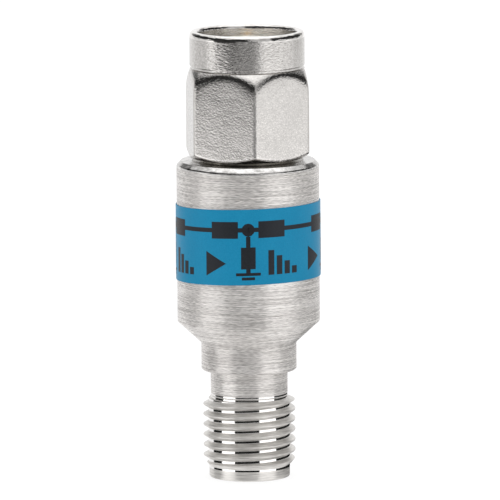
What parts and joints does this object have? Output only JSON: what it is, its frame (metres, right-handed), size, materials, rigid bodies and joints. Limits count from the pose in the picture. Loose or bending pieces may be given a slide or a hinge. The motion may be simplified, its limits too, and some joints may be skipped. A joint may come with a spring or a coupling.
{
  "type": "coaxial rf attenuator",
  "caption": "Fixed coaxial attenuator: a turned steel body with a threaded socket end, a blue label band, and a plug end with a spinning hexagon coupling nut.",
  "frame": {"origin": "centre of the socket end's face, on which the part stands", "axes": "+Z along the part's axis, from the socket end up to the plug end; -Y is the label's front"},
  "size_m": [0.01, 0.01, 0.0309],
  "materials": {
    "turned_steel": "fine turned",
    "label_film": "satin",
    "plated_brass": "nickel plated",
    "nickel_plate": "satin nickel",
    "spring_bronze": "plain",
    "silicone": "matte",
    "white_insulator": "waxy",
    "gold_plate": "gold plated",
    "carrier_brass": "machined",
    "card_ceramic": "fired",
    "silver_film": "fired film",
    "resistor_film": "fired film"
  },
  "bodies": {
    "body": {"housing": "turned_steel", "label_band": "label_film", "plug_shell": "plated_brass", "snap_ring": "spring_bronze", "nut_gasket": "silicone", "plug_insulator": "white_insulator", "plug_pin": "gold_plate", "socket_insulator": "white_insulator", "socket_contact": "gold_plate", "carrier_base": "carrier_brass", "carrier_cap": "carrier_brass", "attenuator_card": "card_ceramic", "card_terminals": "silver_film", "resistor_film": "resistor_film"},
    "nut": {"coupling_nut": "nickel_plate"}
  },
  "joints": [
    {"name": "nut_spin", "type": "hinge", "parent": "body", "child": "nut", "pos_m": [0, 0, 0.0265], "axis": [0, 0, 1], "continuous": true}
  ]
}
